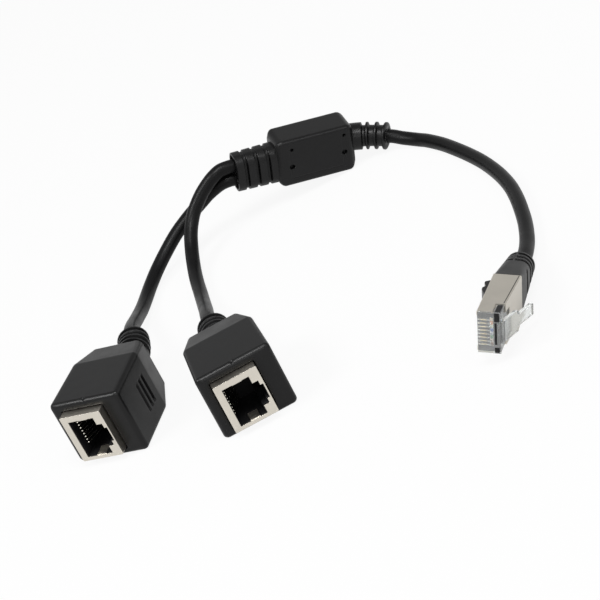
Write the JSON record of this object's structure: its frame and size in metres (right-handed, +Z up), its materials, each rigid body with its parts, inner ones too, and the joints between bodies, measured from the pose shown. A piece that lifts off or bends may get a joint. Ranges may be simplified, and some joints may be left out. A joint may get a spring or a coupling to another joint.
{
  "type": "rj45 splitter adapter",
  "caption": "Network cable splitter: a clear shielded plug, a moulded Y block and two shielded jacks on short round cables",
  "frame": {"origin": "On the table under the middle of the rigid pieces, measured without the three cables", "axes": "+Y from the jacks towards the Y block, +X towards the plug's side, +Z up from the table"},
  "size_m": [0.1378, 0.1485, 0.0233],
  "materials": {
    "clear_plastic": "clear moulded polycarbonate",
    "shield_nickel": "nickel-plated sheet",
    "overmould_black": "fine satin mould texture",
    "cable_jacket": "extruded satin jacket",
    "insert_black": "moulded, semi-gloss",
    "contact_gold": "thin gold plating",
    "core_white_orange": "extruded insulation",
    "core_orange": "extruded insulation",
    "core_white_green": "extruded insulation",
    "core_blue": "extruded insulation",
    "core_white_blue": "extruded insulation",
    "core_green": "extruded insulation",
    "core_white_brown": "extruded insulation",
    "core_brown": "extruded insulation"
  },
  "bodies": {
    "root": {"plug_body": "clear_plastic", "plug_shield": "shield_nickel", "plug_boot": "overmould_black", "plug_contact_1": "contact_gold", "plug_contact_2": "contact_gold", "plug_contact_3": "contact_gold", "plug_contact_4": "contact_gold", "plug_contact_5": "contact_gold", "plug_contact_6": "contact_gold", "plug_contact_7": "contact_gold", "plug_contact_8": "contact_gold", "plug_wire_1": "core_white_orange", "plug_wire_2": "core_orange", "plug_wire_3": "core_white_green", "plug_wire_4": "core_blue", "plug_wire_5": "core_white_blue", "plug_wire_6": "core_green", "plug_wire_7": "core_white_brown", "plug_wire_8": "core_brown", "cable_trunk": "cable_jacket", "cable_branch_left": "cable_jacket", "cable_branch_right": "cable_jacket", "junction_housing": "overmould_black", "jack_left_housing": "overmould_black", "jack_left_shield": "shield_nickel", "jack_left_insert": "insert_black", "jack_left_contact_1": "contact_gold", "jack_left_contact_2": "contact_gold", "jack_left_contact_3": "contact_gold", "jack_left_contact_4": "contact_gold", "jack_left_contact_5": "contact_gold", "jack_left_contact_6": "contact_gold", "jack_left_contact_7": "contact_gold", "jack_left_contact_8": "contact_gold", "jack_right_housing": "overmould_black", "jack_right_shield": "shield_nickel", "jack_right_insert": "insert_black", "jack_right_contact_1": "contact_gold", "jack_right_contact_2": "contact_gold", "jack_right_contact_3": "contact_gold", "jack_right_contact_4": "contact_gold", "jack_right_contact_5": "contact_gold", "jack_right_contact_6": "contact_gold", "jack_right_contact_7": "contact_gold", "jack_right_contact_8": "contact_gold"}
  },
  "joints": []
}
